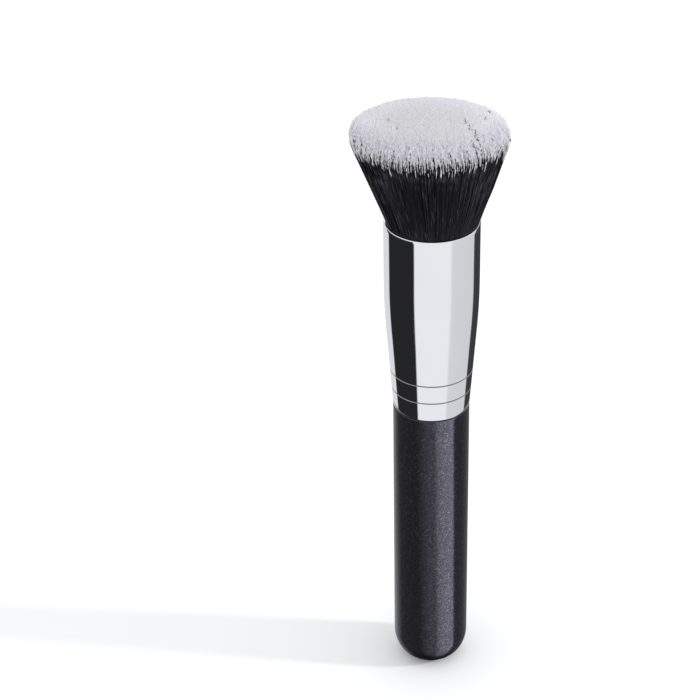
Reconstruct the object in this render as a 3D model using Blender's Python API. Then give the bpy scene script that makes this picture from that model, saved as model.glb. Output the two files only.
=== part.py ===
"""Large flat-top foundation brush, standing on its butt. Metres, +Z up along the brush's axis.

The origin is the centre of the small flat at the butt. From there up: a turned wooden handle with
a tenon, a sleeve of adhesive round the tenon, a drawn aluminium ferrule over both, and at the
ferrule's mouth a flared bundle of bristles, bound with thread and set in a plug of resin.
"""

import math
import random

import bmesh
import bpy
from mathutils import Vector

# Pieces that touch on the real brush keep this gap, and the faces stay apart in a mesh.
CLEARANCE = 0.0003

# Handle: straight, with a domed butt. The tenon starts at the shoulder.
HANDLE_RADIUS = 0.01065
HANDLE_LENGTH = 0.0872
BUTT_FLAT_RADIUS = 0.0042
BUTT_DOME_HEIGHT = 0.0084
SHOULDER_ROUND = 0.0003
TENON_LENGTH = 0.0200
TENON_LAND_LENGTH = 0.0025
TENON_RELIEF = 0.0008
TENON_CHAMFER = 0.0012

# Ferrule: flush with the handle below, tapering out to a straight mouth.
FERRULE_LENGTH = 0.0567
FERRULE_WALL = 0.0004
FERRULE_FLARE = 0.00235  # how much further out the mouth is than the handle
MOUTH_STRAIGHT_LENGTH = 0.0172
TAPER_BLEND = 0.0080  # half the length of the curve between taper and mouth
LOWER_GROOVE_HEIGHT = 0.0058
GROOVE_SPACING = 0.0057
GROOVE_WIDTH = 0.0007
GROOVE_DEPTH = 0.0003
LOWER_EDGE_CHAMFER = 0.0001
LIP_HEIGHT = 0.0008
LIP_TURN_IN = 0.0003

# Bristles above the mouth: a straight flare, then white tips that end in a flat top.
BRISTLE_LENGTH = 0.0262
WHITE_TIP_LENGTH = 0.0045
FLARE_RADIUS = 0.0205  # where the white tips start
TOP_RADIUS = 0.0213
RIM_DROP = 0.0009  # how much lower the outermost strands end than the middle ones
TIP_UNEVENNESS = 0.0004
STRAND_GAP = 0.00018  # at the mouth
STRAND_SHAKE = 0.00022  # how far a strand's corner is moved off its even place, at the mouth
STRAND_RINGS = 8  # 6 x 8 x 8 = 384 strands
TIP_THICKNESS_SHARE = 0.55
RIM_START_SHARE = 0.75  # share of the top's radius where the rim starts to drop

# Root of the bundle: drawn in by the thread, widening again to the mouth.
NECK_LENGTH = 0.0037
NECK_SWELL_LENGTH = 0.0015
THREAD_DIAMETER = 0.0008
THREAD_PITCH = 0.0013
THREAD_TURNS = 4
THREAD_POINTS_A_TURN = 24

# Resin: a plug under the root, with a lip that rises round it and a meniscus below.
PLUG_DEPTH = 0.0070
PLUG_LIP_HEIGHT = 0.0015
PLUG_MENISCUS = 0.0008

SIDES = 48  # of every turned piece
DOME_STEPS = 9
BLEND_STEPS = 6
LIP_STEPS = 4
SMOOTH_ANGLE = math.radians(40)
WELD = 0.00001

# Levels above the butt, and the sizes that follow from the values above.
FERRULE_BASE = HANDLE_LENGTH + CLEARANCE
MOUTH_LEVEL = FERRULE_BASE + FERRULE_LENGTH
MOUTH_RADIUS = HANDLE_RADIUS + FERRULE_FLARE
TAPER_CORNER = FERRULE_LENGTH - MOUTH_STRAIGHT_LENGTH - TAPER_BLEND
TAPER_SLOPE = FERRULE_FLARE / TAPER_CORNER
LIP_OPENING_RADIUS = MOUTH_RADIUS - LIP_TURN_IN - FERRULE_WALL
NECK_RADIUS = LIP_OPENING_RADIUS - CLEARANCE
THREAD_OUTER_RADIUS = MOUTH_RADIUS - FERRULE_WALL - CLEARANCE
WAIST_RADIUS = THREAD_OUTER_RADIUS - THREAD_DIAMETER - CLEARANCE
BINDING_HEIGHT = THREAD_TURNS * THREAD_PITCH + THREAD_DIAMETER
WAIST_LENGTH = PLUG_LIP_HEIGHT + CLEARANCE + BINDING_HEIGHT + CLEARANCE
ROOT_LENGTH = WAIST_LENGTH + NECK_LENGTH


def clear_scene():
    for item in list(bpy.data.objects):
        bpy.data.objects.remove(item, do_unlink=True)


def finish_material(name, colour, roughness, metallic=0.0):
    material = bpy.data.materials.new(name)
    material.use_nodes = True
    shader = material.node_tree.nodes["Principled BSDF"]
    shader.inputs["Base Color"].default_value = (*colour, 1.0)
    shader.inputs["Roughness"].default_value = roughness
    shader.inputs["Metallic"].default_value = metallic
    return material


def add_object(name, data, level, brush, materials):
    """Puts a mesh or a curve on the brush's axis, with its own zero at this level."""
    for material in materials:
        data.materials.append(material)
    item = bpy.data.objects.new(name, data)
    item.location.z = level
    item.parent = brush
    bpy.context.scene.collection.objects.link(item)
    return item


def mesh_of(name, shape):
    """The finished mesh of a bmesh, shaded smooth between its sharp edges."""
    bmesh.ops.recalc_face_normals(shape, faces=shape.faces)
    mesh = bpy.data.meshes.new(name)
    shape.to_mesh(mesh)
    shape.free()
    mesh.shade_smooth()
    mesh.set_sharp_from_angle(angle=SMOOTH_ANGLE)
    return mesh


def turned_mesh(name, outline):
    """Turns an outline of (radius, height) points. One that starts off the axis is a closed ring."""
    shape = bmesh.new()
    points = [shape.verts.new((radius, 0, height)) for radius, height in outline]
    for start, end in zip(points, points[1:]):
        shape.edges.new((start, end))
    if outline[0][0] > 0:
        shape.edges.new((points[-1], points[0]))
    bmesh.ops.spin(
        shape,
        geom=shape.verts[:] + shape.edges[:],
        cent=(0, 0, 0),
        axis=(0, 0, 1),
        angle=2 * math.pi,
        steps=SIDES,
        use_merge=True,
    )
    bmesh.ops.remove_doubles(shape, verts=shape.verts, dist=WELD)
    return mesh_of(name, shape)


def quarter_round(steps):
    """Shares along and across a quarter of an ellipse, from (0, 0) to (1, 1), level at its start."""
    turns = [math.pi / 2 * step / steps for step in range(steps + 1)]
    return [(math.sin(turn), 1 - math.cos(turn)) for turn in turns]


def groove_depth(height):
    """How far the two rolled grooves draw the ferrule's wall in, at a height above its edge."""
    depth = 0
    for middle in (LOWER_GROOVE_HEIGHT, LOWER_GROOVE_HEIGHT + GROOVE_SPACING):
        reach_share = min(abs(height - middle) / (GROOVE_WIDTH / 2), 1)
        depth = max(depth, GROOVE_DEPTH * (1 - reach_share**2))
    return depth


def ferrule_outer(height):
    """The ferrule's outer radius: a straight taper, a curve tangent to it, and the mouth."""
    above_blend = TAPER_CORNER + TAPER_BLEND - height
    if above_blend <= 0:
        radius = MOUTH_RADIUS
    elif above_blend < 2 * TAPER_BLEND:
        radius = MOUTH_RADIUS - TAPER_SLOPE * above_blend**2 / (4 * TAPER_BLEND)
    else:
        radius = HANDLE_RADIUS + TAPER_SLOPE * height
    return radius - groove_depth(height)


def ferrule_inner(height):
    return ferrule_outer(height) - FERRULE_WALL


def wall_heights(low, high):
    """Heights between low and high where the ferrule's wall bends, with both ends."""
    heights = {low, high}
    for step in range(BLEND_STEPS + 1):
        heights.add(TAPER_CORNER - TAPER_BLEND + 2 * TAPER_BLEND * step / BLEND_STEPS)
    for middle in (LOWER_GROOVE_HEIGHT, LOWER_GROOVE_HEIGHT + GROOVE_SPACING):
        for across_share in (-1, -0.4, 0.4, 1):
            heights.add(middle + across_share * GROOVE_WIDTH / 2)
    return sorted(height for height in heights if low <= height <= high)


def handle(brush):
    """Lacquered wood: flat at the butt, domed, straight, and stepped in at the tenon."""
    dome = [
        (
            BUTT_FLAT_RADIUS + along * (HANDLE_RADIUS - BUTT_FLAT_RADIUS),
            up * BUTT_DOME_HEIGHT,
        )
        for along, up in quarter_round(DOME_STEPS)
    ]
    land_radius = ferrule_inner(0) - CLEARANCE
    relieved_radius = land_radius - TENON_RELIEF
    land_top = FERRULE_BASE + TENON_LAND_LENGTH
    tenon_top = FERRULE_BASE + TENON_LENGTH
    outline = [
        (0, 0),
        *dome,
        (HANDLE_RADIUS, HANDLE_LENGTH - SHOULDER_ROUND),
        (HANDLE_RADIUS - SHOULDER_ROUND, HANDLE_LENGTH),
        (land_radius, HANDLE_LENGTH),
        (land_radius, land_top),
        (relieved_radius, land_top),
        (relieved_radius, tenon_top - TENON_CHAMFER),
        (relieved_radius - TENON_CHAMFER, tenon_top),
        (0, tenon_top),
    ]
    lacquer = finish_material("black_pearl_lacquer", (0.012, 0.012, 0.015), 0.32)
    add_object("handle", turned_mesh("handle", outline), 0, brush, [lacquer])


def tenon_glue(brush):
    """Adhesive that fills the space between the relieved tenon and the ferrule's wall."""
    inside = ferrule_inner(0) - TENON_RELIEF
    low = TENON_LAND_LENGTH + CLEARANCE
    high = TENON_LENGTH - TENON_CHAMFER
    wall = [
        (ferrule_inner(height) - CLEARANCE, height) for height in wall_heights(low, high)
    ]
    outline = [(inside, low), *wall, (inside, high)]
    adhesive = finish_material("wood_adhesive", (0.62, 0.50, 0.30), 0.45)
    add_object("tenon_glue", turned_mesh("tenon_glue", outline), FERRULE_BASE, brush, [adhesive])


def ferrule(brush):
    """Drawn tube with one wall all the way: taper, rolled grooves, mouth and turned-in lip."""
    lip_start = FERRULE_LENGTH - LIP_HEIGHT
    heights = wall_heights(LOWER_EDGE_CHAMFER, lip_start)
    outer = [(ferrule_outer(height), height) for height in heights]
    lip = [
        (MOUTH_RADIUS - across * LIP_TURN_IN, lip_start + up * LIP_HEIGHT)
        for up, across in quarter_round(LIP_STEPS)[1:]
    ]
    lip_inside = [(radius - FERRULE_WALL, height) for radius, height in reversed(lip)]
    inner = [(ferrule_inner(height), height) for height in reversed(heights[1:])]
    lower_edge = [
        (ferrule_inner(0), 0),
        (ferrule_outer(0) - LOWER_EDGE_CHAMFER, 0),
    ]
    outline = [*outer, *lip, *lip_inside, *inner, *lower_edge]
    polished = finish_material("polished_aluminium", (0.91, 0.92, 0.93), 0.06, metallic=1.0)
    add_object("ferrule", turned_mesh("ferrule", outline), FERRULE_BASE, brush, [polished])


def epoxy_plug(brush):
    """Resin under the root: its side follows the ferrule, its lip rises round the root."""
    top = FERRULE_LENGTH - ROOT_LENGTH - CLEARANCE
    base = top - PLUG_DEPTH
    lip_top = top + CLEARANCE + PLUG_LIP_HEIGHT
    side = [
        (ferrule_inner(height) - CLEARANCE, height) for height in wall_heights(base, lip_top)
    ]
    cup_radius = WAIST_RADIUS + CLEARANCE
    outline = [
        (0, base + PLUG_MENISCUS),
        (WAIST_RADIUS - PLUG_MENISCUS, base + PLUG_MENISCUS),
        *side,
        (cup_radius, lip_top),
        (cup_radius, top),
        (0, top),
    ]
    resin = finish_material("cast_resin", (0.55, 0.42, 0.22), 0.25)
    add_object("epoxy_plug", turned_mesh("epoxy_plug", outline), FERRULE_BASE, brush, [resin])


def least_gap(points, closest_turns_apart):
    """The least gap between the thread and its own other turns."""
    nearest = min(
        (points[first] - points[second]).length
        for first in range(len(points))
        for second in range(first + closest_turns_apart, len(points))
    )
    return nearest - THREAD_DIAMETER


def binding_thread(brush):
    """One unbroken thread, wound up the waist of the bundle from the resin's lip."""
    radius = WAIST_RADIUS + CLEARANCE + THREAD_DIAMETER / 2
    start = PLUG_LIP_HEIGHT + CLEARANCE + THREAD_DIAMETER / 2 - ROOT_LENGTH
    points = []
    for step in range(THREAD_TURNS * THREAD_POINTS_A_TURN + 1):
        turns = step / THREAD_POINTS_A_TURN
        angle = 2 * math.pi * turns
        height = start + turns * THREAD_PITCH
        points.append(Vector((radius * math.cos(angle), radius * math.sin(angle), height)))
    gap = least_gap(points, THREAD_POINTS_A_TURN // 2)
    print(f"binding_thread: least gap between turns {gap * 1000:.2f} mm")

    curve = bpy.data.curves.new("binding_thread", "CURVE")
    curve.dimensions = "3D"
    curve.bevel_depth = THREAD_DIAMETER / 2
    curve.bevel_resolution = 1
    curve.use_fill_caps = True
    line = curve.splines.new("POLY")
    line.points.add(len(points) - 1)
    for place, point in zip(line.points, points):
        place.co = (*point, 1)
    cotton = finish_material("waxed_cotton", (0.75, 0.72, 0.64), 0.8)
    add_object("binding_thread", curve, MOUTH_LEVEL, brush, [cotton])


def strand_cells(shape, shake):
    """A disc of triangles at the mouth, one for each strand. Ring k has 6k points round it."""
    rings = [[shape.verts.new((0, 0, 0))]]
    for ring in range(1, STRAND_RINGS + 1):
        radius = NECK_RADIUS * ring / STRAND_RINGS
        count = 6 * ring
        points = []
        for step in range(count):
            angle = 2 * math.pi * step / count
            point = Vector((radius * math.cos(angle), radius * math.sin(angle), 0))
            if ring < STRAND_RINGS:
                point.x += shake.uniform(-STRAND_SHAKE, STRAND_SHAKE)
                point.y += shake.uniform(-STRAND_SHAKE, STRAND_SHAKE)
            points.append(shape.verts.new(point))
        rings.append(points)
    cells = []
    for ring in range(1, STRAND_RINGS + 1):
        outer, inner = rings[ring], rings[ring - 1]
        for sixth in range(6):
            for step in range(ring):
                first = outer[sixth * ring + step]
                second = outer[(sixth * ring + step + 1) % len(outer)]
                corner = inner[(sixth * (ring - 1) + step) % len(inner)]
                cells.append(shape.faces.new((first, second, corner)))
                if step < ring - 1:
                    following = inner[(sixth * (ring - 1) + step + 1) % len(inner)]
                    cells.append(shape.faces.new((corner, second, following)))
    return cells


def grow_root(shape):
    """Draws the disc's edge down into the ferrule: neck, waist under the thread, and flat end."""
    edge = [edge for edge in shape.edges if edge.is_boundary]
    steps = (
        (NECK_RADIUS, NECK_SWELL_LENGTH - NECK_LENGTH),
        (WAIST_RADIUS, -NECK_LENGTH),
        (WAIST_RADIUS, -ROOT_LENGTH),
    )
    for radius, height in steps:
        grown = bmesh.ops.extrude_edge_only(shape, edges=edge)["geom"]
        for vert in (item for item in grown if isinstance(item, bmesh.types.BMVert)):
            out = Vector((vert.co.x, vert.co.y, 0)).normalized() * radius
            vert.co = (out.x, out.y, height)
        edge = [item for item in grown if isinstance(item, bmesh.types.BMEdge)]
    bmesh.ops.edgeloop_fill(shape, edges=edge)


def raise_strands(shape, faces, reach, thickness_share, height_at):
    """Thins each strand's end about its middle, then spreads them all to this reach, and up."""
    lifted = bmesh.ops.extrude_discrete_faces(shape, faces=faces)["faces"]
    for face in lifted:
        middle = face.calc_center_median()
        for vert in face.verts:
            vert.co = middle + (vert.co - middle) * thickness_share
    spread = reach / max(vert.co.xy.length for face in lifted for vert in face.verts)
    for face in lifted:
        height = height_at(face.calc_center_median().xy.length * spread)
        for vert in face.verts:
            vert.co = (vert.co.x * spread, vert.co.y * spread, height)
    return lifted


def bristle_bundle(brush):
    """Three-sided strands that grow from one root and fan out without crossing."""
    chance = random.Random(7)
    shape = bmesh.new()
    cells = strand_cells(shape, chance)
    grow_root(shape)
    bmesh.ops.recalc_face_normals(shape, faces=shape.faces)
    bmesh.ops.inset_individual(shape, faces=cells, thickness=STRAND_GAP / 2, use_even_offset=True)

    def tip_height(radius):
        rim_share = max(radius / TOP_RADIUS - RIM_START_SHARE, 0) / (1 - RIM_START_SHARE)
        return BRISTLE_LENGTH - RIM_DROP * rim_share**2 - chance.uniform(0, TIP_UNEVENNESS)

    white_start = BRISTLE_LENGTH - WHITE_TIP_LENGTH
    shafts = raise_strands(shape, cells, FLARE_RADIUS, 1, lambda radius: white_start)
    tips = raise_strands(shape, shafts, TOP_RADIUS, TIP_THICKNESS_SHARE, tip_height)
    for tip in tips:
        for edge in tip.edges:
            for face in edge.link_faces:
                face.material_index = 1
    black = finish_material("black_fibre", (0.010, 0.009, 0.011), 0.45)
    white = finish_material("white_fibre_tip", (0.74, 0.73, 0.76), 0.55)
    mesh = mesh_of("bristle_bundle", shape)
    add_object("bristle_bundle", mesh, MOUTH_LEVEL, brush, [black, white])


def main():
    clear_scene()
    brush = bpy.data.objects.new("brush", None)
    bpy.context.scene.collection.objects.link(brush)
    handle(brush)
    tenon_glue(brush)
    ferrule(brush)
    epoxy_plug(brush)
    binding_thread(brush)
    bristle_bundle(brush)


main()
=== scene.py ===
import math

import bpy
import numpy as np
from mathutils import Matrix, Vector


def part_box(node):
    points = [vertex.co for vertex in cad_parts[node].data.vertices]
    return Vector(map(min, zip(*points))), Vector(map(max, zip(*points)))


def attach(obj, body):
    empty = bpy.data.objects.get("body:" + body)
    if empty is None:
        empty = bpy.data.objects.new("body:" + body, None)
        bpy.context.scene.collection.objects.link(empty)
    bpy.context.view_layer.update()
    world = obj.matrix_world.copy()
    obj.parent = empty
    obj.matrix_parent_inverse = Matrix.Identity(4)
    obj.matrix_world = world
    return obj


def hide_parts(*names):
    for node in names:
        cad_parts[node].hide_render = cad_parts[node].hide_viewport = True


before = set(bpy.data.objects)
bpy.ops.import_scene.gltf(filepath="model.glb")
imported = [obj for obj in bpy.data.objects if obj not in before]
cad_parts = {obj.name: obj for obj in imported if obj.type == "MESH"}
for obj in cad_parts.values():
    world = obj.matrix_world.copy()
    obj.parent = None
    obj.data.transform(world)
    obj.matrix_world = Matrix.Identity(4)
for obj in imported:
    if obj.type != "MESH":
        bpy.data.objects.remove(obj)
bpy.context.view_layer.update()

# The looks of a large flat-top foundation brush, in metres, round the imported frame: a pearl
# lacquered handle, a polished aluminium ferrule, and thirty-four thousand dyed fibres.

BODY = "root"
MM = 0.001

# Levels and radii that the frame gives.
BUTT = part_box("handle")[0].z
HANDLE_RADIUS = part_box("handle")[1].x
TENON_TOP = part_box("handle")[1].z
FERRULE_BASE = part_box("ferrule")[0].z
MOUTH_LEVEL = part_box("ferrule")[1].z
MOUTH_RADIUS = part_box("ferrule")[1].x
ROOT_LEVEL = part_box("bristle_bundle")[0].z
TOP_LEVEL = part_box("bristle_bundle")[1].z

# Handle and ferrule. The sizes are those of part.py, but for the grooves, which are finer.
CLEARANCE = 0.3 * MM  # between the handle and the ferrule
BUTT_FLAT_RADIUS = 4.2 * MM
BUTT_DOME_HEIGHT = 8.4 * MM
SHOULDER_ROUND = 0.3 * MM
TENON_LAND_LENGTH = 2.5 * MM
TENON_RELIEF = 0.8 * MM
TENON_CHAMFER = 1.2 * MM
FERRULE_LENGTH = MOUTH_LEVEL - FERRULE_BASE
FERRULE_WALL = 0.4 * MM
MOUTH_STRAIGHT_LENGTH = 17.2 * MM
TAPER_BLEND = 8.0 * MM  # half the length of the curve between taper and mouth
TAPER_CORNER = FERRULE_LENGTH - MOUTH_STRAIGHT_LENGTH - TAPER_BLEND  # where they meet without it
LOWER_GROOVE = 5.8 * MM
UPPER_GROOVE = 11.5 * MM
GROOVE_WIDTH = 0.44 * MM
GROOVE_DEPTH = 0.2 * MM
LOWER_EDGE_CHAMFER = 0.1 * MM
LIP_HEIGHT = 0.8 * MM
LIP_TURN_IN = 0.3 * MM
HANDLE_SIDES = 192
FERRULE_SIDES = 256
DOME_STEPS = 24
SHOULDER_STEPS = 4
LIP_STEPS = 10
GROOVE_STEPS = 10
BLEND_STEPS = 14
TAPER_STEPS = 5
MOUTH_STEPS = 3
BAND_STEPS = 2  # below the lower groove, and between the two

# The bundle of fibres.
FIBRES_A_PIECE = 6800
PIECE_NAMES = (
    "bristles_core",
    "bristles_inner",
    "bristles_middle",
    "bristles_outer",
    "bristles_edge",
)
SEED = 11
FIBRE_SIDES = 3
FIBRE_RADIUS = 0.125 * MM
THINNEST_SHARE = 0.8  # of that radius
THICKEST_SHARE = 1.15
ROOT_RADIUS = 11.0 * MM
THROAT_RADIUS = 12.1 * MM  # where the lip squeezes the fibres
BULGE_RADIUS = 12.95 * MM  # just above the lip, where they spring out again
BULGE_LEVEL = MOUTH_LEVEL + 1.6 * MM
TOP_RADIUS = 21.9 * MM
BULGE_LEAN = (0.3 * MM, 0)  # the bundle is pushed over, to the right above the lip
TOP_LEAN = (-0.7 * MM, 0.8 * MM)  # and to the left and back at its top
PLACE_STRAY_SHARE = 0.3  # how far a fibre's foot is off its even place, in distances between two
NEAR_MIDDLE_SHARE = 0.01  # of the radius, so near the middle that a place has no side
STRAY = 0.22 * MM  # how far a fibre's tip wanders from where it would be
STRAY_POWER = 1.5  # it does so towards its end
BOW = 0.12 * MM  # how far its middle does
RIM_START_SHARE = 0.92  # of the radius, where the rim starts to drop
RIM_DROP = 1.2 * MM
TIP_LENGTH = 0.12 * MM  # over which a fibre closes to its point
TIP_RING_SHARE = 0.95  # marks the ring below the point, before each fibre has its own
TIP_SPREAD_SHARE = 1.3  # how thick a fibre is at that ring: its end is split and spreads a little
TIP_UNEVENNESS = 0.12 * MM  # how far below the flat top a tip may end

# The same towards the rim in front, where the tips are combed forward and uneven.
COMBED_SHARE = 0.9  # how far back from the rim in front they are, in radii
RIM_TIP_LENGTH = 3.2 * MM  # at most
RIM_SPREAD_SHARE = 1.0
RIM_UNEVENNESS = 1.8 * MM
COMBED_STRAY_LOSS_SHARE = 0.8  # how much less a fibre strays at the rim
UNEVENNESS_POWER = 1.25
TIP_POWER = 1.5
DROP_POWER = 1.5  # few tips are at the lowest

# The fibres in front stand in locks, in rows that run to the back and draw together there.
LOCK_ROWS = 88
LOCK_LENGTH = 2.5 * MM
LOCKS_A_ROW = 20  # more than a row has
ROWS_MEET = 4.4  # where the rows' lines meet, in radii behind the middle
ROW_STRAY_SHARE = 0.4  # of a row's width, by which the line between two rows is off its place
LOCK_PULL_SHARE = 0.8  # how far the fibres at the rim draw to their lock's middle line
PULL_POWER = 2
LOCK_DROP_SHARE = 0.7  # of a tip's drop, which is that of its lock
LONERS_SHARE = 0.85  # of the fibres, whose tone and dye line aren't those of their lock

# Partings: lines between two rows, whose fibres are dyed up to their tips: painted shade of the gap
# between two locks, partly the black of the fibres below it.
PARTING_WIDTH = 0.17 * MM
PARTING_DROP = 0.2 * MM
LONGEST_PARTING_SHARE = 1.1  # how far back from the rim in front it runs at most, in radii
PARTING_POWER = 2.2  # most are far shorter
PARTING_NARROWS = 1.4  # how steeply it closes towards its end
DISC_EDGE = 1.01  # the square of a radius just past the disc's, so that no row is without length

# Slits in the flat top, with fibres dyed dark as painted shade: where their middles are, and half
# their lengths.
SLIT_WIDTH = 0.28 * MM
SLITS = (
    (10.7 * MM, 1.2 * MM, 2.0 * MM),
    (9.7 * MM, 5.0 * MM, 1.4 * MM),
    (11.8 * MM, -2.4 * MM, 1.8 * MM),
    (16.4 * MM, 10.6 * MM, 0.7 * MM),
    (14.9 * MM, 6.6 * MM, 0.9 * MM),
    (-8.4 * MM, 1.0 * MM, 0.7 * MM),
    (-10.6 * MM, 6.6 * MM, 0.7 * MM),
)

# The dye chart's columns: steps of how deep in the bundle a fibre is, with as many chances in
# each. The first chance of a step is for partings, and the very first column is for slits; both
# are dyed dark as painted shade.
CHART_LENGTH = 42 * MM  # the length that the chart's height stands for
DEPTH_STEPS = 16
CHANCES = 16
CHART_COLUMNS = DEPTH_STEPS * CHANCES
COLUMN_MARGIN_SHARE = 0.1  # of a column's width, which stays free on each side
DEEPEST_SHARE = 1.2  # the depth that the steps reach, in radii
SIDE_DEPTH_SHARE = 0.3  # added to the depth at the sides, and twice as much at the back
STEP_STRAY = 0.5  # how many steps a fibre may be off

# The camera: behind a long lens, looking down on the brush, and tilted by a hair.
CAMERA_PLACE = Vector((-22.404, -518.528, 416.224)) * MM
CAMERA_PITCH = math.radians(31.018)
CAMERA_ROLL = math.radians(-1.067)
SENSOR_WIDTH = 36
LENS = 113.14


# Making meshes

WELD = 0.001 * MM
SMOOTH_ANGLE = math.radians(30)


def only(item):
    """Leaves this object as the one that is selected and active."""
    bpy.ops.object.select_all(action="DESELECT")
    item.select_set(True)
    bpy.context.view_layer.objects.active = item


def draw_up(name, sides, outline, capped=True):
    """Draws a ring of sides along an outline of (radius, height), as on a lathe.

    An end on the axis is drawn to a point, and an end off it is capped. Without caps the outline
    makes a tube where it comes back to its start, and a shape with an open top where it doesn't.
    """
    radius, height = outline[0]
    bpy.ops.object.select_all(action="DESELECT")
    bpy.ops.mesh.primitive_circle_add(vertices=sides, radius=radius, location=(0, 0, height))
    item = bpy.context.active_object
    item.name = item.data.name = name
    bpy.ops.object.transform_apply(location=True)
    bpy.ops.object.mode_set(mode="EDIT")
    bpy.ops.mesh.select_all(action="SELECT")
    if capped:
        bpy.ops.mesh.edge_face_add()
    for next_radius, next_height in outline[1:]:
        bpy.ops.mesh.extrude_edges_move(
            TRANSFORM_OT_translate={"value": (0, 0, next_height - height)}
        )
        if next_radius:
            share = next_radius / radius
            bpy.ops.transform.resize(value=(share, share, 1), center_override=(0, 0, next_height))
        else:
            bpy.ops.mesh.merge(type="CENTER")
        radius, height = next_radius, next_height
    if capped and radius:
        bpy.ops.mesh.edge_face_add()
    bpy.ops.mesh.select_all(action="SELECT")
    bpy.ops.mesh.remove_doubles(threshold=WELD)
    bpy.ops.mesh.normals_make_consistent(inside=False)
    bpy.ops.object.mode_set(mode="OBJECT")
    return item


def quarter_round(steps):
    """Shares along and across a quarter of an ellipse from (0, 0) to (1, 1), level at its start."""
    turns = [math.pi / 2 * step / steps for step in range(steps + 1)]
    return [(math.sin(turn), 1 - math.cos(turn)) for turn in turns]


def between(low, high, steps):
    """Even values from low to high, without high."""
    return [low + (high - low) * step / steps for step in range(steps)]


def smooth(item):
    """Shades a mesh smooth between its sharp edges."""
    only(item)
    bpy.ops.object.shade_smooth_by_angle(angle=SMOOTH_ANGLE)


def dress(item, node, material):
    """Gives a finished mesh its finish, and the place of this node in the frame."""
    item.data.materials.append(material)
    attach(item, BODY)
    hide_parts(node)


# Nodes

def feed(tree, value, socket):
    """Links another node's output to a socket, or sets a plain value there."""
    if isinstance(value, bpy.types.NodeSocket):
        tree.links.new(value, socket)
    else:
        socket.default_value = value


def add_node(tree, kind, **values):
    """Adds a node. A value whose name is a socket's, with _ for a space, goes to that socket."""
    made = tree.nodes.new(kind)
    for name, value in values.items():
        socket = next((s for s in made.inputs if s.name.lower().replace(" ", "_") == name), None)
        if socket is None:
            setattr(made, name, value)
        else:
            feed(tree, value, socket)
    return made


def sums(tree, operation, *values, clamp=False):
    """The result of a Math node."""
    made = add_node(tree, "ShaderNodeMath", operation=operation, use_clamp=clamp)
    for value, socket in zip(values, made.inputs):
        feed(tree, value, socket)
    return made.outputs[0]


def stretched(tree, value, low, high, to_low=0, to_high=1, kind="LINEAR"):
    """A value between low and high, brought between two others."""
    made = add_node(
        tree,
        "ShaderNodeMapRange",
        interpolation_type=kind,
        value=value,
        from_min=low,
        from_max=high,
        to_min=to_low,
        to_max=to_high,
    )
    return made.outputs[0]


def blended(tree, share, first, second):
    """A colour between two others."""
    made = add_node(tree, "ShaderNodeMix", data_type="RGBA")
    sockets = {socket.identifier: socket for socket in [*made.inputs, *made.outputs]}
    feed(tree, share, sockets["Factor_Float"])
    feed(tree, first, sockets["A_Color"])
    feed(tree, second, sockets["B_Color"])
    return sockets["Result_Color"]


def grey(level):
    return (level, level, level, 1)


def tinted(level, tint):
    return (*(level * part for part in tint), 1)


def new_material(name, roughness, metallic=0.0, specular=0.5):
    """A material, its tree and its Principled shader. A finish may link its own roughness."""
    material = bpy.data.materials.new(name)
    material.use_nodes = True
    shader = material.node_tree.nodes["Principled BSDF"]
    shader.inputs["Roughness"].default_value = roughness
    shader.inputs["Metallic"].default_value = metallic
    shader.inputs["Specular IOR Level"].default_value = specular
    return material, material.node_tree, shader


def object_place(tree):
    return tree.nodes.new("ShaderNodeTexCoord").outputs["Object"]


def bump(tree, height, distance, strength):
    """A Bump node's normal, from a height whose 1 stands for this distance."""
    made = add_node(tree, "ShaderNodeBump", height=height, distance=distance, strength=strength)
    return made.outputs["Normal"]


# Finishes

# Pearl lacquer
FINE_FLAKES_A_METRE = 5200
COARSE_FLAKES_A_METRE = 3100
FLAKE_RELIEF = 0.006 * MM
PEARL_DARK = (0.071, 0.068, 0.082, 1)
PEARL_BRIGHT = (0.223, 0.217, 0.262, 1)

# Polished aluminium
BUFF_MARKS_A_METRE = (60, 60, 5200)  # the buff runs round the tube
ALUMINIUM_DULL = (0.90, 0.90, 0.91, 1)
ALUMINIUM_BRIGHT = (0.94, 0.94, 0.95, 1)
# Painted shade, partly dirt: the base colour darkens in the two grooves.
GROOVE_SHADE_AND_GRIME = (0.23, 0.23, 0.25, 1)
SHADE_FULL_SHARE = 0.42  # how far from a groove's middle the painted shade is full, in its widths
SHADE_END_SHARE = 0.52  # and how far it reaches

# Dyed fibre. Its lengths are in millimetres from the tip, and its depths in radii.
WHITE_AT_RIM = 0.28  # how much of the tip is white at the rim in front
WHITE_HALF_WAY = 3.8  # and at the depth that is half-way
MORE_WHITE_INSIDE = 4.0  # which is added towards the middle
RIM_DEPTH = 0.0
HALF_WAY_DEPTH = 0.5
MIDDLE_DEPTH = 1.1
STREAK = 2.4  # how much more white a fibre has at most by chance
STREAK_POWER = 6.0  # few have much of it
OUTER_PARTING_DEPTH = 0.6
INNER_PARTING_DEPTH = 0.9
OUTER_PARTING_SHADE = 5.0  # how much less white the fibres of a parting have, as painted shade
INNER_PARTING_SHADE = 3.0
SLIT_SHADE = 9.0
DYE_START = -0.4  # where the dye starts, from its line
DYE_FULL = 0.8
WHITE_LOW = (0.748, 0.738, 0.768, 1)
WHITE_HIGH = (0.816, 0.806, 0.832, 1)
# Painted light: the outer fibres' white is paler, to offset the shade that falls between them.
WHITE_PAINTED_LIGHT_OUTSIDE = (0.905, 0.89, 0.94, 1)
PAINTED_LIGHT_FULL_DEPTH = 0.4
PAINTED_LIGHT_END_DEPTH = 0.95
BLACK = (0.0018, 0.0014, 0.0046, 1)
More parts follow.
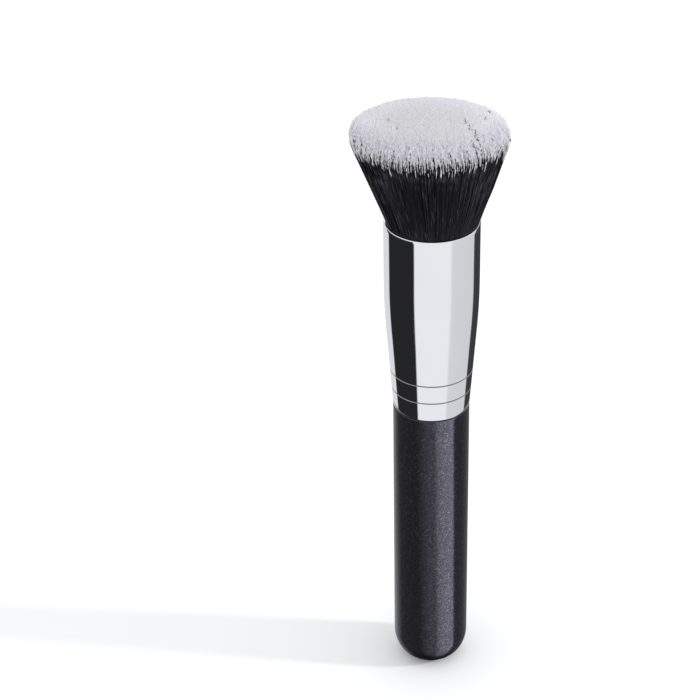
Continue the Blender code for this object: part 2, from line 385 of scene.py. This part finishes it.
# Painted glints: lighter dashes along the black fibres stand in for their sheen.
BLACK_PAINTED_GLINT = (0.062, 0.057, 0.079, 1)
GLINTS_A_MM = 0.2
TONE_SPREAD = 500  # which sets the painted glints of two tones far apart
TONE_SEED = 0.37
LINE_SEED = 71.11
LESS_THAN_ONE = 0.5  # tells a whole number that is zero from the others

# Glue, resin and thread, inside the ferrule
GLUE_PALE = (0.70, 0.55, 0.30, 1)
GLUE_BROWN = (0.48, 0.33, 0.14, 1)
BUBBLE_DEPTH = 0.05 * MM
RESIN_BROWN = (0.30, 0.17, 0.06, 1)
RESIN_PALE = (0.52, 0.36, 0.16, 1)
COTTON_SHADE = (0.60, 0.56, 0.46, 1)
COTTON_LIGHT = (0.80, 0.77, 0.69, 1)
PLY_RELIEF = 0.06 * MM


def speckle_group():
    """Flakes: a random value for each cell of a given size."""
    group = bpy.data.node_groups.new("flake_speckle", "ShaderNodeTree")
    group.interface.new_socket("Place", in_out="INPUT", socket_type="NodeSocketVector")
    group.interface.new_socket("Cells per metre", in_out="INPUT", socket_type="NodeSocketFloat")
    group.interface.new_socket("Value", in_out="OUTPUT", socket_type="NodeSocketFloat")
    given = group.nodes.new("NodeGroupInput").outputs
    result = group.nodes.new("NodeGroupOutput").inputs
    cells = add_node(
        group, "ShaderNodeTexVoronoi", vector=given["Place"], scale=given["Cells per metre"]
    )
    chance = add_node(
        group, "ShaderNodeTexWhiteNoise", noise_dimensions="3D", vector=cells.outputs["Position"]
    )
    feed(group, chance.outputs["Value"], result["Value"])
    return group


def flakes(tree, speckle, place, cells):
    """The random values of the speckle group's flakes."""
    made = add_node(
        tree, "ShaderNodeGroup", node_tree=speckle, place=place, cells_per_metre=cells
    )
    return made.outputs["Value"]


def pearl_lacquer(speckle):
    """Black pearl: fine metal flakes in a dark satin lacquer."""
    material, tree, shader = new_material("pearl_lacquer", roughness=0.3, metallic=1.0)
    place = object_place(tree)
    fine = flakes(tree, speckle, place, FINE_FLAKES_A_METRE)
    coarse = flakes(tree, speckle, place, COARSE_FLAKES_A_METRE)
    many_dim = stretched(tree, fine, low=0.3, high=1.0, to_high=0.6)
    few_bright = stretched(tree, coarse, low=0.9, high=1.0, to_high=0.8)
    share = sums(tree, "ADD", many_dim, few_bright, clamp=True)
    feed(tree, blended(tree, share, PEARL_DARK, PEARL_BRIGHT), shader.inputs["Base Color"])
    roughness = stretched(tree, coarse, low=0.0, high=1.0, to_low=0.16, to_high=0.26)
    feed(tree, roughness, shader.inputs["Roughness"])
    feed(tree, bump(tree, fine, FLAKE_RELIEF, strength=0.4), shader.inputs["Normal"])
    return material


def polished_aluminium():
    """Mirror polish with the faintest marks of the buff, and painted shade, partly dirt, in the two
    grooves.
    """
    material, tree, shader = new_material("polished_aluminium", roughness=0.05, metallic=1.0)
    place = object_place(tree)
    round_tube = add_node(tree, "ShaderNodeMapping", vector=place, scale=BUFF_MARKS_A_METRE)
    marks = add_node(
        tree, "ShaderNodeTexNoise", vector=round_tube.outputs[0], scale=1.0, detail=3.0
    )
    cloud = add_node(tree, "ShaderNodeTexNoise", vector=place, scale=90.0, detail=2.0)
    dull = sums(tree, "MULTIPLY", marks.outputs[0], cloud.outputs[0])
    roughness = stretched(tree, dull, low=0.1, high=0.45, to_low=0.04, to_high=0.09)
    feed(tree, roughness, shader.inputs["Roughness"])
    clean = blended(tree, cloud.outputs[0], ALUMINIUM_DULL, ALUMINIUM_BRIGHT)
    height = add_node(tree, "ShaderNodeSeparateXYZ", vector=place).outputs["Z"]
    # Painted shade, partly dirt: the base colour darkens in the two grooves.
    full, end = GROOVE_WIDTH * SHADE_FULL_SHARE, GROOVE_WIDTH * SHADE_END_SHARE
    bands = []
    for middle in (LOWER_GROOVE, UPPER_GROOVE):
        away = sums(tree, "ABSOLUTE", sums(tree, "SUBTRACT", height, FERRULE_BASE + middle))
        bands.append(stretched(tree, away, full, end, to_low=1, to_high=0))
    shade_and_grime = sums(tree, "MAXIMUM", *bands)
    feed(tree, blended(tree, shade_and_grime, clean, GROOVE_SHADE_AND_GRIME), shader.inputs["Base Color"])
    return material


def column_chance(tree, column, seed):
    """A random value for each column of the dye chart."""
    place = sums(tree, "ADD", column, seed)
    made = add_node(tree, "ShaderNodeTexWhiteNoise", noise_dimensions="1D", w=place)
    return made.outputs["Value"]


def white_length(tree, column, depth, luck, line):
    """How much of a tip is white: more the deeper it is, less in partings, none in slits: painted
    shade.
    """
    outer = stretched(
        tree, depth, RIM_DEPTH, HALF_WAY_DEPTH, WHITE_AT_RIM, WHITE_HALF_WAY, kind="SMOOTHSTEP"
    )
    inner = stretched(
        tree, depth, HALF_WAY_DEPTH, MIDDLE_DEPTH, to_high=MORE_WHITE_INSIDE, kind="SMOOTHSTEP"
    )
    streak = sums(tree, "MULTIPLY", sums(tree, "POWER", line, STREAK_POWER), STREAK)
    parting_shade_by_depth = stretched(
        tree,
        depth,
        OUTER_PARTING_DEPTH,
        INNER_PARTING_DEPTH,
        OUTER_PARTING_SHADE,
        INNER_PARTING_SHADE,
    )
    # Painted shade: fibres of partings and slits lose white, so that their gaps read dark.
    in_parting = sums(tree, "LESS_THAN", luck, LESS_THAN_ONE)
    in_slit = sums(tree, "LESS_THAN", column, LESS_THAN_ONE)
    painted_parting_shade = sums(tree, "MULTIPLY", parting_shade_by_depth, in_parting)
    painted_slit_shade = sums(tree, "MULTIPLY", in_slit, SLIT_SHADE)
    length = sums(tree, "ADD", sums(tree, "ADD", outer, inner), streak)
    return sums(tree, "SUBTRACT", length, sums(tree, "ADD", painted_parting_shade, painted_slit_shade))


def dyed_fibre():
    """Fibre dyed black but for its tip. The dye chart's columns each have a tone and a dye line."""
    material, tree, shader = new_material("dyed_fibre", roughness=0.23, specular=0.3)
    chart = add_node(tree, "ShaderNodeUVMap", uv_map="OFBake").outputs[0]
    place = add_node(tree, "ShaderNodeSeparateXYZ", vector=chart).outputs
    column = sums(tree, "FLOOR", sums(tree, "MULTIPLY", place["X"], CHART_COLUMNS))
    step = sums(tree, "FLOOR", sums(tree, "DIVIDE", column, CHANCES))
    luck = sums(tree, "SUBTRACT", column, sums(tree, "MULTIPLY", step, CHANCES))
    depth = sums(tree, "MULTIPLY", step, DEEPEST_SHARE / DEPTH_STEPS)
    tone = column_chance(tree, column, TONE_SEED)
    line = column_chance(tree, column, LINE_SEED)
    up_to_tip = sums(tree, "SUBTRACT", 1, place["Y"])
    from_tip = sums(tree, "MULTIPLY", up_to_tip, CHART_LENGTH / MM)
    past_line = sums(tree, "SUBTRACT", from_tip, white_length(tree, column, depth, luck, line))
    dyed = stretched(tree, past_line, DYE_START, DYE_FULL, kind="SMOOTHSTEP")

    # Painted glints: lighter dashes along the dyed part, in place of the sheen of single fibres.
    strand = add_node(
        tree,
        "ShaderNodeCombineXYZ",
        x=sums(tree, "MULTIPLY", tone, TONE_SPREAD),
        y=sums(tree, "MULTIPLY", from_tip, GLINTS_A_MM),
    )
    glint_dashes = add_node(
        tree, "ShaderNodeTexNoise", vector=strand.outputs[0], scale=1.0, detail=1.0
    )
    painted_glint = stretched(tree, glint_dashes.outputs[0], low=0.57, high=0.71)
    black = blended(tree, painted_glint, BLACK, BLACK_PAINTED_GLINT)
    # Painted light: the outer fibres, fully in front and at the sides and less at the back, get the
    # paler white.
    outside = stretched(tree, depth, PAINTED_LIGHT_FULL_DEPTH, PAINTED_LIGHT_END_DEPTH, to_low=1, to_high=0)
    inner_white = blended(tree, tone, WHITE_LOW, WHITE_HIGH)
    white = blended(tree, outside, inner_white, WHITE_PAINTED_LIGHT_OUTSIDE)
    feed(tree, blended(tree, dyed, white, black), shader.inputs["Base Color"])
    roughness = stretched(tree, tone, low=0.0, high=1.0, to_low=0.15, to_high=0.31)
    feed(tree, roughness, shader.inputs["Roughness"])
    return material


def cured_adhesive():
    """Amber glue with small bubbles and cloudy patches."""
    material, tree, shader = new_material("cured_adhesive", roughness=0.4)
    place = object_place(tree)
    cloud = add_node(tree, "ShaderNodeTexNoise", vector=place, scale=260.0, detail=4.0)
    colour = blended(tree, cloud.outputs[0], GLUE_PALE, GLUE_BROWN)
    feed(tree, colour, shader.inputs["Base Color"])
    bubbles = add_node(tree, "ShaderNodeTexVoronoi", vector=place, scale=1400.0)
    pits = stretched(tree, bubbles.outputs["Distance"], low=0.0, high=0.25)
    feed(tree, bump(tree, pits, BUBBLE_DEPTH, strength=0.4), shader.inputs["Normal"])
    return material


def cast_resin():
    """Clear brown resin, poured and set, with flow marks."""
    material, tree, shader = new_material("cast_resin", roughness=0.18)
    flow = add_node(
        tree,
        "ShaderNodeTexNoise",
        vector=object_place(tree),
        scale=180.0,
        detail=3.0,
        distortion=1.2,
    )
    colour = blended(tree, flow.outputs[0], RESIN_BROWN, RESIN_PALE)
    feed(tree, colour, shader.inputs["Base Color"])
    roughness = stretched(tree, flow.outputs[0], low=0.3, high=0.7, to_low=0.12, to_high=0.3)
    feed(tree, roughness, shader.inputs["Roughness"])
    return material


def waxed_cotton():
    """Twisted thread: slanting plies and a little fuzz."""
    material, tree, shader = new_material("waxed_cotton", roughness=0.75, specular=0.3)
    plies = add_node(
        tree,
        "ShaderNodeTexWave",
        bands_direction="DIAGONAL",
        vector=object_place(tree),
        scale=420.0,
        distortion=1.5,
        detail=2.0,
    ).outputs["Fac"]
    feed(tree, blended(tree, plies, COTTON_SHADE, COTTON_LIGHT), shader.inputs["Base Color"])
    feed(tree, bump(tree, plies, PLY_RELIEF, strength=0.7), shader.inputs["Normal"])
    return material


# Handle and ferrule

def groove_depth(height):
    """How far the two rolled grooves draw the ferrule's wall in, at a height above its edge."""
    away = min(abs(height - LOWER_GROOVE), abs(height - UPPER_GROOVE))
    reach_share = min(away / (GROOVE_WIDTH / 2), 1)
    return GROOVE_DEPTH * (1 - reach_share**2)


def ferrule_outer(height):
    """The ferrule's outer radius: a straight taper, a parabola tangent to it, and the mouth."""
    slope = (MOUTH_RADIUS - HANDLE_RADIUS) / TAPER_CORNER
    below_mouth = TAPER_CORNER + TAPER_BLEND - height
    if below_mouth <= 0:
        radius = MOUTH_RADIUS
    elif below_mouth < 2 * TAPER_BLEND:
        radius = MOUTH_RADIUS - slope * below_mouth**2 / (4 * TAPER_BLEND)
    else:
        radius = HANDLE_RADIUS + slope * height
    return radius - groove_depth(height)


def wall_heights():
    """Heights up the ferrule's wall, close together in the grooves and on the curve."""
    half = GROOVE_WIDTH / 2
    return [
        *between(LOWER_EDGE_CHAMFER, LOWER_GROOVE - half, BAND_STEPS),
        *between(LOWER_GROOVE - half, LOWER_GROOVE + half, GROOVE_STEPS),
        *between(LOWER_GROOVE + half, UPPER_GROOVE - half, BAND_STEPS),
        *between(UPPER_GROOVE - half, UPPER_GROOVE + half, GROOVE_STEPS),
        *between(UPPER_GROOVE + half, TAPER_CORNER - TAPER_BLEND, TAPER_STEPS),
        *between(TAPER_CORNER - TAPER_BLEND, TAPER_CORNER + TAPER_BLEND, BLEND_STEPS),
        *between(TAPER_CORNER + TAPER_BLEND, FERRULE_LENGTH - LIP_HEIGHT, MOUTH_STEPS),
    ]


def ferrule_shell(material):
    """The drawn tube: one wall, two rolled grooves and a lip turned in over the bristles."""
    wall = [(ferrule_outer(height), height) for height in wall_heights()]
    lip = [
        (MOUTH_RADIUS - across * LIP_TURN_IN, FERRULE_LENGTH - LIP_HEIGHT + up * LIP_HEIGHT)
        for up, across in quarter_round(LIP_STEPS)
    ]
    outside = [*wall, *lip]
    inside = [(radius - FERRULE_WALL, height) for radius, height in reversed(outside)]
    edge = [(ferrule_outer(0) - FERRULE_WALL, 0), (ferrule_outer(0) - LOWER_EDGE_CHAMFER, 0)]
    outline = [
        (radius, FERRULE_BASE + height) for radius, height in [*outside, *inside, *edge, outside[0]]
    ]
    shell = draw_up("ferrule_shell", FERRULE_SIDES, outline, capped=False)
    smooth(shell)
    dress(shell, "ferrule", material)


def handle_body(material):
    """Turned wood under lacquer: flat butt, dome, straight grip, rounded shoulder and tenon."""
    dome = [
        (
            BUTT_FLAT_RADIUS + along * (HANDLE_RADIUS - BUTT_FLAT_RADIUS),
            BUTT + up * BUTT_DOME_HEIGHT,
        )
        for along, up in quarter_round(DOME_STEPS)
    ]
    shoulder_level = FERRULE_BASE - CLEARANCE
    shoulder = [
        (
            HANDLE_RADIUS - across * SHOULDER_ROUND,
            shoulder_level - SHOULDER_ROUND + along * SHOULDER_ROUND,
        )
        for along, across in quarter_round(SHOULDER_STEPS)
    ]
    land_radius = ferrule_outer(0) - FERRULE_WALL - CLEARANCE
    relieved_radius = land_radius - TENON_RELIEF
    land_top = FERRULE_BASE + TENON_LAND_LENGTH
    outline = [
        *dome,
        *shoulder,
        (land_radius, shoulder_level),
        (land_radius, land_top),
        (relieved_radius, land_top),
        (relieved_radius, TENON_TOP - TENON_CHAMFER),
        (relieved_radius - TENON_CHAMFER, TENON_TOP),
    ]
    body = draw_up("handle_body", HANDLE_SIDES, outline)
    smooth(body)
    dress(body, "handle", material)


# Fibres

def one_fibre():
    """The corners and faces of a fibre a metre thick, whose heights are shares of its length."""
    length = TOP_LEVEL - ROOT_LEVEL
    mouth_share = (MOUTH_LEVEL - ROOT_LEVEL) / length
    bulge_share = (BULGE_LEVEL - ROOT_LEVEL) / length
    middle_share = (bulge_share + TIP_RING_SHARE) / 2
    rings = (0, mouth_share, bulge_share, middle_share, TIP_RING_SHARE)
    model = draw_up("one_fibre", FIBRE_SIDES, [*((1, share) for share in rings), (0, 1)])
    model.data.calc_loop_triangles()
    corners = np.array([tuple(vertex.co) for vertex in model.data.vertices])
    faces = np.array([tuple(triangle.vertices) for triangle in model.data.loop_triangles])
    bpy.data.objects.remove(model)
    return corners, faces


def even_places(count, chance):
    """Even places over a disc of radius 1, from the middle out, each moved a little."""
    index = np.arange(count)
    golden_turn = math.pi * (3 - math.sqrt(5))
    out = np.sqrt((index + 0.5) / count)
    places = np.stack([out * np.cos(index * golden_turn), out * np.sin(index * golden_turn)], 1)
    spacing = math.sqrt(math.pi / count)
    places += chance.normal(0, PLACE_STRAY_SHARE * spacing, places.shape)
    return places / np.maximum(np.linalg.norm(places, axis=1, keepdims=True), 1)


def locks(places, behind_rim, chance):
    """Each place's lock, its way to the lock's middle line, and whether it is in a parting."""
    across = places[:, 0] / (1 - places[:, 1] / ROWS_MEET)
    row_width = 2 / LOCK_ROWS
    moved = chance.uniform(-ROW_STRAY_SHARE, ROW_STRAY_SHARE, LOCK_ROWS + 1)
    edges = -1 + row_width * (np.arange(LOCK_ROWS + 1) + moved)
    row = np.clip(np.searchsorted(edges, across) - 1, 0, LOCK_ROWS - 1)
    beyond_edge = across - edges[row]
    pull = (edges[row + 1] - edges[row]) / 2 - beyond_edge
    cut = chance.uniform(0, 1, LOCK_ROWS)[row]
    along = np.floor((places[:, 1] + 1) * TOP_RADIUS / LOCK_LENGTH + cut).astype(int)
    longest = LONGEST_PARTING_SHARE * np.sqrt(DISC_EDGE - places[:, 0] ** 2)
    longest *= chance.uniform(0, 1, LOCK_ROWS)[row] ** PARTING_POWER
    narrowed = np.clip(PARTING_NARROWS * (1 - behind_rim / longest), 0, 1)
    parting = np.abs(beyond_edge) * TOP_RADIUS < PARTING_WIDTH * narrowed
    pull[parting] = 0
    return row * LOCKS_A_ROW + along, pull, parting


def chart_columns(places, out, lock, parting, chance):
    """Each fibre's column of the dye chart, from how deep in the bundle it is and from chance."""
    count = len(places)
    to_back = places[:, 1] / np.maximum(out, NEAR_MIDDLE_SHARE)
    depth = 1 - out + SIDE_DEPTH_SHARE * (1 + to_back)
    off = chance.uniform(-STEP_STRAY, STEP_STRAY, count)
    step = np.floor(depth / DEEPEST_SHARE * DEPTH_STEPS + off)
    own = chance.integers(1, CHANCES, count)
    shared = chance.integers(1, CHANCES, LOCK_ROWS * LOCKS_A_ROW)[lock]
    luck = np.where(chance.uniform(0, 1, count) < LONERS_SHARE, own, shared)
    # Painted shade: partings and slits take the columns dyed up to their tips, so that their gaps
    # read dark.
    luck[parting] = 0
    column = np.clip(step, 0, DEPTH_STEPS - 1) * CHANCES + luck
    for slit_x, slit_y, half_length in SLITS:
        inside = np.abs(places[:, 0] * TOP_RADIUS - slit_x) < SLIT_WIDTH / 2
        inside &= np.abs(places[:, 1] * TOP_RADIUS - slit_y) < half_length
        column[inside] = 0
    return column


def plan_fibres(chance):
    """What each fibre is like: its place, tip, bends, thickness and column of the dye chart."""
    count = FIBRES_A_PIECE * len(PIECE_NAMES)
    places = even_places(count, chance)
    out = np.linalg.norm(places, axis=1)
    behind_rim = places[:, 1] + np.sqrt(np.maximum(1 - places[:, 0] ** 2, 0))
    lock, pull, parting = locks(places, behind_rim, chance)
    combed = np.clip(1 - behind_rim / COMBED_SHARE, 0, 1)
    pull *= LOCK_PULL_SHARE * combed

    beyond_rim_start = np.maximum(out - RIM_START_SHARE, 0) / (1 - RIM_START_SHARE)
    uneven = TIP_UNEVENNESS + (RIM_UNEVENNESS - TIP_UNEVENNESS) * combed**UNEVENNESS_POWER
    lock_drops = chance.uniform(0, 1, LOCK_ROWS * LOCKS_A_ROW)[lock]
    drops = lock_drops * LOCK_DROP_SHARE + chance.uniform(0, 1, count) * (1 - LOCK_DROP_SHARE)
    tips = TOP_LEVEL - RIM_DROP * beyond_rim_start**2
    tips -= uneven * drops**DROP_POWER + PARTING_DROP * parting

    at_tip = combed**TIP_POWER
    point = TIP_LENGTH + (RIM_TIP_LENGTH - TIP_LENGTH) * at_tip * chance.uniform(0, 1, count)
    spread = TIP_SPREAD_SHARE + (RIM_SPREAD_SHARE - TIP_SPREAD_SHARE) * at_tip
    stray = chance.normal(0, STRAY, (count, 2))
    stray *= (1 - COMBED_STRAY_LOSS_SHARE * combed**2)[:, None]
    bow = chance.normal(0, BOW, (count, 2))
    turns = chance.uniform(0, 2 * math.pi, count)
    thickness = FIBRE_RADIUS * chance.uniform(THINNEST_SHARE, THICKEST_SHARE, count)

    return {
        "places": places,
        "pull": pull,
        "tips": tips,
        "point": point,
        "spread": spread,
        "stray": stray,
        "bow": bow,
        "turns": turns,
        "thickness": thickness,
        "column": chart_columns(places, out, lock, parting, chance),
    }


def bent_fibres(plan, shape):
    """The corners of all fibres: those of the one fibre, bent to the path of each."""
    tips = plan["tips"][:, None]
    tip_ring = np.isclose(shape[:, 2], TIP_RING_SHARE)
    level = ROOT_LEVEL + shape[:, 2] * (tips - ROOT_LEVEL)
    level = np.where(tip_ring, tips - plan["point"][:, None], level)
    free = np.clip((level - MOUTH_LEVEL) / (TOP_LEVEL - MOUTH_LEVEL), 0, 1)
    radius = np.interp(
        level,
        (ROOT_LEVEL, MOUTH_LEVEL, BULGE_LEVEL, TOP_LEVEL),
        (ROOT_RADIUS, THROAT_RADIUS, BULGE_RADIUS, TOP_RADIUS),
    )
    thickness = plan["thickness"][:, None] * np.where(tip_ring, plan["spread"][:, None], 1)
    cos, sin = np.cos(plan["turns"])[:, None], np.sin(plan["turns"])[:, None]
    turned = (
        shape[:, 0] * cos - shape[:, 1] * sin,
        shape[:, 0] * sin + shape[:, 1] * cos,
    )
    points = np.empty((*level.shape, 3))
    for axis in range(2):
        home = plan["places"][:, axis, None]
        gathered = plan["pull"][:, None] * free**PULL_POWER if axis == 0 else 0
        drift = plan["stray"][:, axis, None] * free**STRAY_POWER
        drift += plan["bow"][:, axis, None] * np.sin(math.pi * free)
        drift += np.interp(
            level,
            (MOUTH_LEVEL, BULGE_LEVEL, TOP_LEVEL),
            (0, BULGE_LEAN[axis], TOP_LEAN[axis]),
        )
        points[:, :, axis] = (home + gathered) * radius + drift + turned[axis] * thickness
    points[:, :, 2] = level
    return points


def mesh_of_fibres(name, points, faces):
    """A mesh of all fibres, and its faces, from one fibre's faces."""
    fibres, corners = points.shape[:2]
    all_faces = (faces + (np.arange(fibres) * corners)[:, None, None]).reshape(-1, 3)
    mesh = bpy.data.meshes.new(name)
    mesh.vertices.add(fibres * corners)
    mesh.vertices.foreach_set("co", points.ravel())
    mesh.loops.add(all_faces.size)
    mesh.loops.foreach_set("vertex_index", all_faces.ravel())
    mesh.polygons.add(len(all_faces))
    mesh.polygons.foreach_set("loop_start", np.arange(0, all_faces.size, 3))
    mesh.update(calc_edges=True)
    mesh.shade_smooth()
    return mesh, all_faces


def lay_on_chart(mesh, all_faces, from_tip, column):
    """Lays the fibres on the dye chart: across is the column, and up the distance from the tip.

    A face's corners lie at both edges and in the middle of its column, so none is without area.
    """
    place_up = 1 - from_tip.ravel()[all_faces] / CHART_LENGTH
    left = (np.repeat(column, len(all_faces) // len(column)) + COLUMN_MARGIN_SHARE) / CHART_COLUMNS
    width = (1 - 2 * COLUMN_MARGIN_SHARE) / CHART_COLUMNS
    every = np.arange(len(all_faces))
    lowest = place_up.argmin(1)
    across_share = np.zeros(place_up.shape)
    across_share[every, (lowest + 1) % 3] = 1
    across_share[every, (lowest + 2) % 3] = 0.5
    places = np.stack([left[:, None] + across_share * width, place_up], 2)
    mesh.uv_layers.new(name="OFBake").data.foreach_set("uv", places.ravel())


def bristle_bundle(material):
    """Copies one fibre to every place in the bundle, in pieces from the middle out."""
    shape, faces = one_fibre()
    plan = plan_fibres(np.random.default_rng(SEED))
    for number, name in enumerate(PIECE_NAMES):
        some = slice(number * FIBRES_A_PIECE, (number + 1) * FIBRES_A_PIECE)
        part = {key: values[some] for key, values in plan.items()}
        points = bent_fibres(part, shape)
        mesh, all_faces = mesh_of_fibres(name, points, faces)
        from_tip = part["tips"][:, None] - points[:, :, 2]
        lay_on_chart(mesh, all_faces, from_tip, part["column"])
        piece = bpy.data.objects.new(name, mesh)
        bpy.context.scene.collection.objects.link(piece)
        dress(piece, "bristle_bundle", material)


# Stage: floor, sky, light tent, lamp and camera

FLOOR_SIZE = 6.0
FLOOR_GREY = 0.97
FLOOR_GLOW = 0.04
EVEN_LIGHT = 0.97
EVEN_TINT = (0.97, 0.98, 1.0)
OVERHEAD_LIGHT = (0.84, 0.84, 0.86, 1)
OVERHEAD_RISE = 0.35  # how steeply a way rises that meets this light alone
SUN_POWER = 1.25
SUN_SPREAD = math.radians(5)
SUN_SIDE = (0.95, -0.12, 0.45)  # the way to it
TENT_RADIUS = 14 * MM
TENT_TOP = 84.2 * MM
TENT_NECK_RADIUS = 11.0 * MM  # above its top it closes in on the handle, just under the ferrule
TENT_NECK = 87.3 * MM
TENT_SIDES = 180
TENT_FOOT = -60 * MM
DARK_BELOW = -25 * MM  # the butt's underside shines with near darkness from here down
LIGHT_ABOVE = 4 * MM
DARK_SHARE = 0.1
CARD_TWIST = 0.2  # how far the tent's cards lean to the side, in rounds a metre
CARD_TINT = (0.98, 0.99, 1.04)
CAMERA_SIDE = math.atan2(CAMERA_PLACE.y, CAMERA_PLACE.x)
# How bright the cards are, at angles in degrees round from the camera's side, to the right:
# those of the sky, which the ferrule shines with, and those of the tent round the handle.
SKY_CARDS = (
    (-180, 0.75), (-124, 0.75), (-122, 0.02), (-43, 0.02), (-41.5, 0.88),
    (44, 0.88), (51, 0.70), (118, 0.66), (121, 0.045), (180, 0.045),
)
TENT_CARDS = (
    (-180, 0.15), (-162, 0.15), (-155, 0.95), (-140, 0.95), (-135, 0.60),
    (-92, 0.60), (-66, 0.16), (-21, 0.13), (2, 0.42), (11, 0.42),
    (17, 0.90), (27, 1.20), (48, 1.35), (52, 0.18), (75, 0.18),
    (110, 0.28), (135, 0.50), (155, 0.15), (180, 0.15),
)


def floor():
    """A white floor, which shows in nothing that shines."""
    bpy.ops.object.select_all(action="DESELECT")
    bpy.ops.mesh.primitive_plane_add(size=FLOOR_SIZE)
    item = bpy.context.active_object
    item.name = "studio_floor"
    material, tree, shader = new_material("white_floor", roughness=1.0, specular=0.0)
    shader.inputs["Base Color"].default_value = grey(FLOOR_GREY)
    shader.inputs["Emission Color"].default_value = grey(1)
    shader.inputs["Emission Strength"].default_value = FLOOR_GLOW
    item.data.materials.append(material)
    item.visible_glossy = False


def cards(tree, turn, stops):
    """The light of a ring of cards, where turn is the share of the way round it."""
    ramp = add_node(tree, "ShaderNodeValToRGB", fac=turn)
    elements = ramp.color_ramp.elements
    for number, (degrees, level) in enumerate(stops):
        share = (degrees + 180) / 360
        if number in (0, len(stops) - 1):
            stop = elements[0 if number == 0 else -1]
            stop.position = share
        else:
            stop = elements.new(share)
        stop.color = tinted(level, CARD_TINT)
    return ramp.outputs["Color"]


def turn_and_height(tree, place):
    """The share of the way round, from the side away from the camera, and the height of a place."""
    parts = add_node(tree, "ShaderNodeSeparateXYZ", vector=place).outputs
    angle = sums(tree, "ARCTAN2", parts["Y"], parts["X"])
    from_behind = sums(tree, "SUBTRACT", angle, CAMERA_SIDE - math.pi)
    return sums(tree, "FRACT", sums(tree, "DIVIDE", from_behind, 2 * math.pi)), parts["Z"]


def light_tent():
    """A ring of cards round the handle that only its shine sees, as bands of light and dark."""
    outline = [
        (TENT_NECK_RADIUS, TENT_NECK),
        (TENT_RADIUS, TENT_TOP),
        (TENT_RADIUS, TENT_FOOT),
        (0, TENT_FOOT),
    ]
    tent = draw_up("light_tent", TENT_SIDES, outline, capped=False)

    material = bpy.data.materials.new("tent_cards")
    material.use_nodes = True
    tree = material.node_tree
    tree.nodes.clear()
    turn, height = turn_and_height(tree, object_place(tree))
    turn = sums(tree, "MULTIPLY_ADD", height, CARD_TWIST, turn)
    strength = stretched(tree, height, DARK_BELOW, LIGHT_ABOVE, to_low=DARK_SHARE)
    light = cards(tree, turn, TENT_CARDS)
    glow = add_node(tree, "ShaderNodeEmission", color=light, strength=strength)
    add_node(tree, "ShaderNodeOutputMaterial", surface=glow.outputs[0])
    material.cycles.emission_sampling = "NONE"
    tent.data.materials.append(material)
    tent.visible_camera = tent.visible_diffuse = tent.visible_shadow = False
    tent.visible_transmission = tent.visible_volume_scatter = False


def sky():
    """Even light from all sides, plain white behind the brush, and cards for what shines."""
    world = bpy.data.worlds.new("studio")
    bpy.context.scene.world = world
    world.use_nodes = True
    tree = world.node_tree
    tree.nodes.clear()
    rays = tree.nodes.new("ShaderNodeLightPath").outputs
    way = tree.nodes.new("ShaderNodeTexCoord").outputs["Generated"]
    turn, rise = turn_and_height(tree, way)
    overhead = stretched(tree, rise, low=0, high=OVERHEAD_RISE, kind="SMOOTHSTEP")
    shine = blended(tree, overhead, cards(tree, turn, SKY_CARDS), OVERHEAD_LIGHT)
    light = blended(tree, rays["Is Glossy Ray"], tinted(EVEN_LIGHT, EVEN_TINT), shine)
    seen = sums(tree, "ADD", rays["Is Camera Ray"], rays["Is Transmission Ray"], clamp=True)
    light = blended(tree, seen, light, grey(1))
    glow = add_node(tree, "ShaderNodeBackground", color=light, strength=1)
    add_node(tree, "ShaderNodeOutputWorld", surface=glow.outputs[0])


def sun():
    """A low lamp from the right, far enough away for a crisp shadow."""
    data = bpy.data.lights.new("sun", "SUN")
    data.energy = SUN_POWER
    data.angle = SUN_SPREAD
    item = bpy.data.objects.new("sun", data)
    bpy.context.scene.collection.objects.link(item)
    item.rotation_euler = Vector(SUN_SIDE).to_track_quat("Z", "Y").to_euler()
    item.visible_glossy = False


def camera():
    """The camera, at the photograph's viewing angle."""
    data = bpy.data.cameras.new("camera")
    data.sensor_width = SENSOR_WIDTH
    data.lens = LENS
    item = bpy.data.objects.new("camera", data)
    bpy.context.scene.collection.objects.link(item)
    pitch = Matrix.Rotation(math.pi / 2 - CAMERA_PITCH, 4, "X")
    roll = Matrix.Rotation(CAMERA_ROLL, 4, "Z")
    item.matrix_world = Matrix.Translation(CAMERA_PLACE) @ pitch @ roll
    bpy.context.scene.camera = item


def main():
    camera()
    floor()
    light_tent()
    sky()
    sun()
    bpy.context.scene.view_settings.view_transform = "Standard"

    handle_body(pearl_lacquer(speckle_group()))
    ferrule_shell(polished_aluminium())
    bristle_bundle(dyed_fibre())
    for node, material in (
        ("tenon_glue", cured_adhesive()),
        ("epoxy_plug", cast_resin()),
        ("binding_thread", waxed_cotton()),
    ):
        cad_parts[node].material_slots[0].material = material


main()
